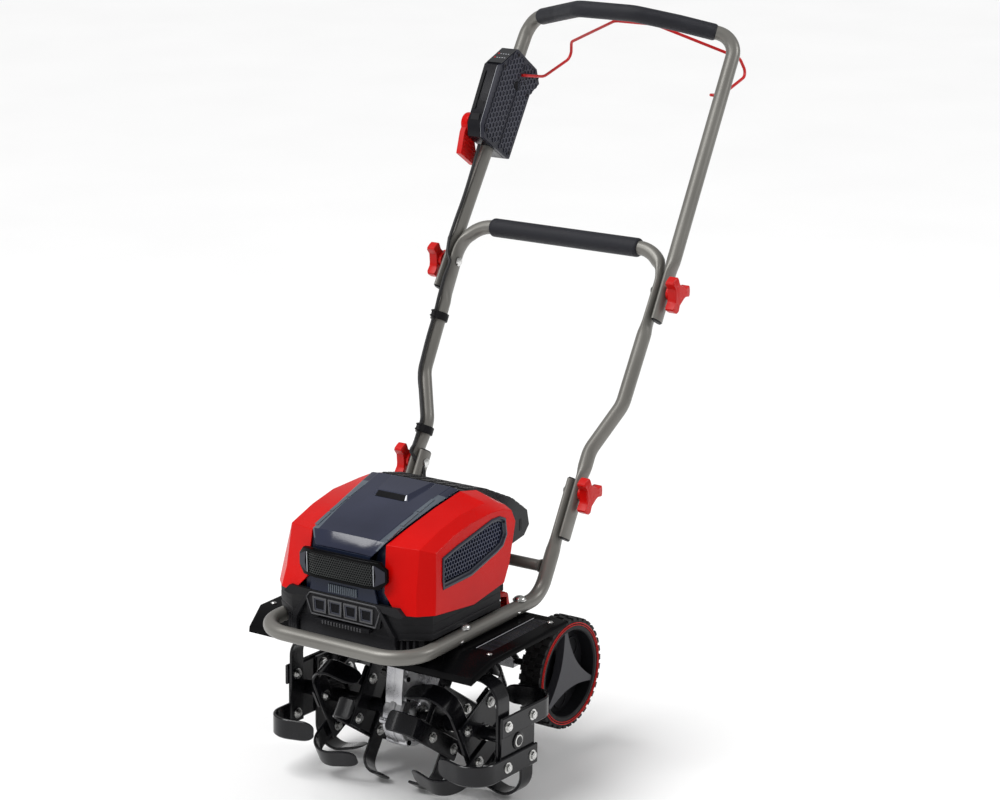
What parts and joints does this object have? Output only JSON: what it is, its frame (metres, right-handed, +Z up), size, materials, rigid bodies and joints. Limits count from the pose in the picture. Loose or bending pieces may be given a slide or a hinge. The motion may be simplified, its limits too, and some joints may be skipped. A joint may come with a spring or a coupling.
{
  "type": "cordless garden tiller",
  "caption": "Walk-behind cordless garden tiller: tube frame, motor housing, worm gearbox with star tines under a deck, height-set wheels, folding handle with bail lever.",
  "frame": {"origin": "middle of the bounding box on the ground, below the machine", "axes": "+X to the machine's left-right side with the release lever, -Y the way it travels, +Z up"},
  "size_m": [0.5262, 1.0264, 1.2701],
  "materials": {
    "warm_grey_paint": "satin",
    "black_painted_steel": "gloss",
    "zinc_plated_steel": "satin",
    "cast_aluminium": "cast",
    "red_plastic": "gloss",
    "black_plastic": "matte",
    "grey_plastic": "matte",
    "smoked_cover": "gloss",
    "black_rubber": "matte",
    "foam_grip": "foam",
    "red_wire": "satin",
    "bronze_wheel": "satin",
    "circuit_board": "matte"
  },
  "bodies": {
    "main_frame": {"main_frame": "warm_grey_paint", "cross_tube": "warm_grey_paint", "deck_plate": "black_painted_steel", "gearbox_left": "cast_aluminium", "gearbox_right": "cast_aluminium", "bearing_left": "zinc_plated_steel", "bearing_right": "zinc_plated_steel", "base_shell": "black_plastic", "cowl_left": "red_plastic", "cowl_right": "red_plastic", "window_mesh_left": "black_plastic", "window_mesh_right": "black_plastic", "rear_cover": "black_plastic", "front_grille": "black_plastic", "label_bar": "black_plastic", "motor_can": "grey_plastic", "control_board": "circuit_board", "battery_tray": "grey_plastic", "battery_left": "black_plastic", "battery_right": "black_plastic", "wheel_sleeve": "black_painted_steel", "fold_bolt_lower_left": "zinc_plated_steel", "fold_bolt_lower_right": "zinc_plated_steel", "cable_lower": "black_plastic"},
    "tine_rotor": {"tine_shaft": "zinc_plated_steel", "worm_wheel": "bronze_wheel", "tine_star_left_inner": "black_painted_steel", "tine_star_left_middle": "black_painted_steel", "tine_star_left_outer": "black_painted_steel", "tine_star_right_inner": "black_painted_steel", "tine_star_right_middle": "black_painted_steel", "tine_star_right_outer": "black_painted_steel"},
    "worm": {"worm_shaft": "bronze_wheel"},
    "battery_lid": {"battery_cover": "smoked_cover"},
    "wheel_slide": {"wheel_carrier": "black_painted_steel"},
    "wheel_left_body": {"wheel_rim_left": "grey_plastic", "tyre_left": "black_rubber"},
    "wheel_right_body": {"wheel_rim_right": "grey_plastic", "tyre_right": "black_rubber"},
    "wheel_release": {"release_lever": "red_plastic"},
    "middle_frame": {"middle_handle": "warm_grey_paint", "foam_sleeve": "foam_grip", "cable_clip_high": "black_plastic", "cable_clip_low": "black_plastic", "cable_middle": "black_plastic", "fold_bolt_upper_left": "zinc_plated_steel", "fold_bolt_upper_right": "zinc_plated_steel"},
    "upper_frame": {"upper_handle": "warm_grey_paint", "grip_foam": "foam_grip", "switch_box_front": "black_plastic", "switch_box_rear": "grey_plastic", "display": "smoked_cover", "cable_upper": "black_plastic"},
    "bail": {"bail_wire": "red_wire"},
    "lock": {"lock_lever": "red_plastic"},
    "knob_lower_left_body": {"knob_lower_left": "red_plastic"},
    "knob_lower_right_body": {"knob_lower_right": "red_plastic"},
    "knob_upper_left_body": {"knob_upper_left": "red_plastic"},
    "knob_upper_right_body": {"knob_upper_right": "red_plastic"}
  },
  "joints": [
    {"name": "tine_rotor_spin", "type": "hinge", "parent": "main_frame", "child": "tine_rotor", "pos_m": [0, -0.28611, 0.12497], "axis": [1, 0, 0], "continuous": true},
    {"name": "worm_spin", "type": "hinge", "parent": "main_frame", "child": "worm", "pos_m": [0, -0.23811, 0.21717], "axis": [0, 0, 1], "continuous": true},
    {"name": "battery_cover_hinge", "type": "hinge", "parent": "main_frame", "child": "battery_lid", "pos_m": [0, -0.25491, 0.52717], "axis": [-1, 0, 0], "range_deg": [0, 75]},
    {"name": "wheel_height_slide", "type": "slide", "parent": "main_frame", "child": "wheel_slide", "axis": [0, 0, 1], "range_m": [-0.07, 0]},
    {"name": "wheel_left_spin", "type": "hinge", "parent": "wheel_slide", "child": "wheel_left_body", "pos_m": [-0.158, -0.05681, 0.16077], "axis": [1, 0, 0], "continuous": true},
    {"name": "wheel_right_spin", "type": "hinge", "parent": "wheel_slide", "child": "wheel_right_body", "pos_m": [0.158, -0.05681, 0.16077], "axis": [1, 0, 0], "continuous": true},
    {"name": "release_lever_hinge", "type": "hinge", "parent": "main_frame", "child": "wheel_release", "pos_m": [0.112, -0.15391, 0.28917], "axis": [1, 0, 0], "range_deg": [-12, 0], "stiffness_Nm_per_rad": 0.5, "springref_deg": 11.46},
    {"name": "middle_handle_fold", "type": "hinge", "parent": "main_frame", "child": "middle_frame", "pos_m": [0, -0.02176, 0.48105], "axis": [1, 0, 0], "range_deg": [0, 100]},
    {"name": "upper_handle_fold", "type": "hinge", "parent": "middle_frame", "child": "upper_frame", "pos_m": [0, 0.168, 0.80449], "axis": [1, 0, 0], "range_deg": [-130, 0]},
    {"name": "bail_hinge", "type": "hinge", "parent": "upper_frame", "child": "bail", "pos_m": [0, 0.37179, 1.11693], "axis": [1, 0, 0], "range_deg": [0, 38], "stiffness_Nm_per_rad": 0.5, "springref_deg": -17.19},
    {"name": "lock_lever_hinge", "type": "hinge", "parent": "upper_frame", "child": "lock", "pos_m": [-0.25, 0.26629, 1.04067], "axis": [1, 0, 0], "range_deg": [-20, 0], "stiffness_Nm_per_rad": 0.3, "springref_deg": 11.46},
    {"name": "knob_lower_left_turn", "type": "hinge", "parent": "main_frame", "child": "knob_lower_left_body", "pos_m": [-0.1923, -0.02176, 0.48105], "axis": [1, 0, 0], "range_deg": [-360, 360]},
    {"name": "knob_lower_right_turn", "type": "hinge", "parent": "main_frame", "child": "knob_lower_right_body", "pos_m": [0.1923, -0.02176, 0.48105], "axis": [1, 0, 0], "range_deg": [-360, 360]},
    {"name": "knob_upper_left_turn", "type": "hinge", "parent": "middle_frame", "child": "knob_upper_left_body", "pos_m": [-0.2511, 0.168, 0.80449], "axis": [1, 0, 0], "range_deg": [-360, 360]},
    {"name": "knob_upper_right_turn", "type": "hinge", "parent": "middle_frame", "child": "knob_upper_right_body", "pos_m": [0.2511, 0.168, 0.80449], "axis": [1, 0, 0], "range_deg": [-360, 360]}
  ],
  "couplings": [
    {"joint": "worm_spin", "follows": "tine_rotor_spin", "ratio": 24}
  ]
}
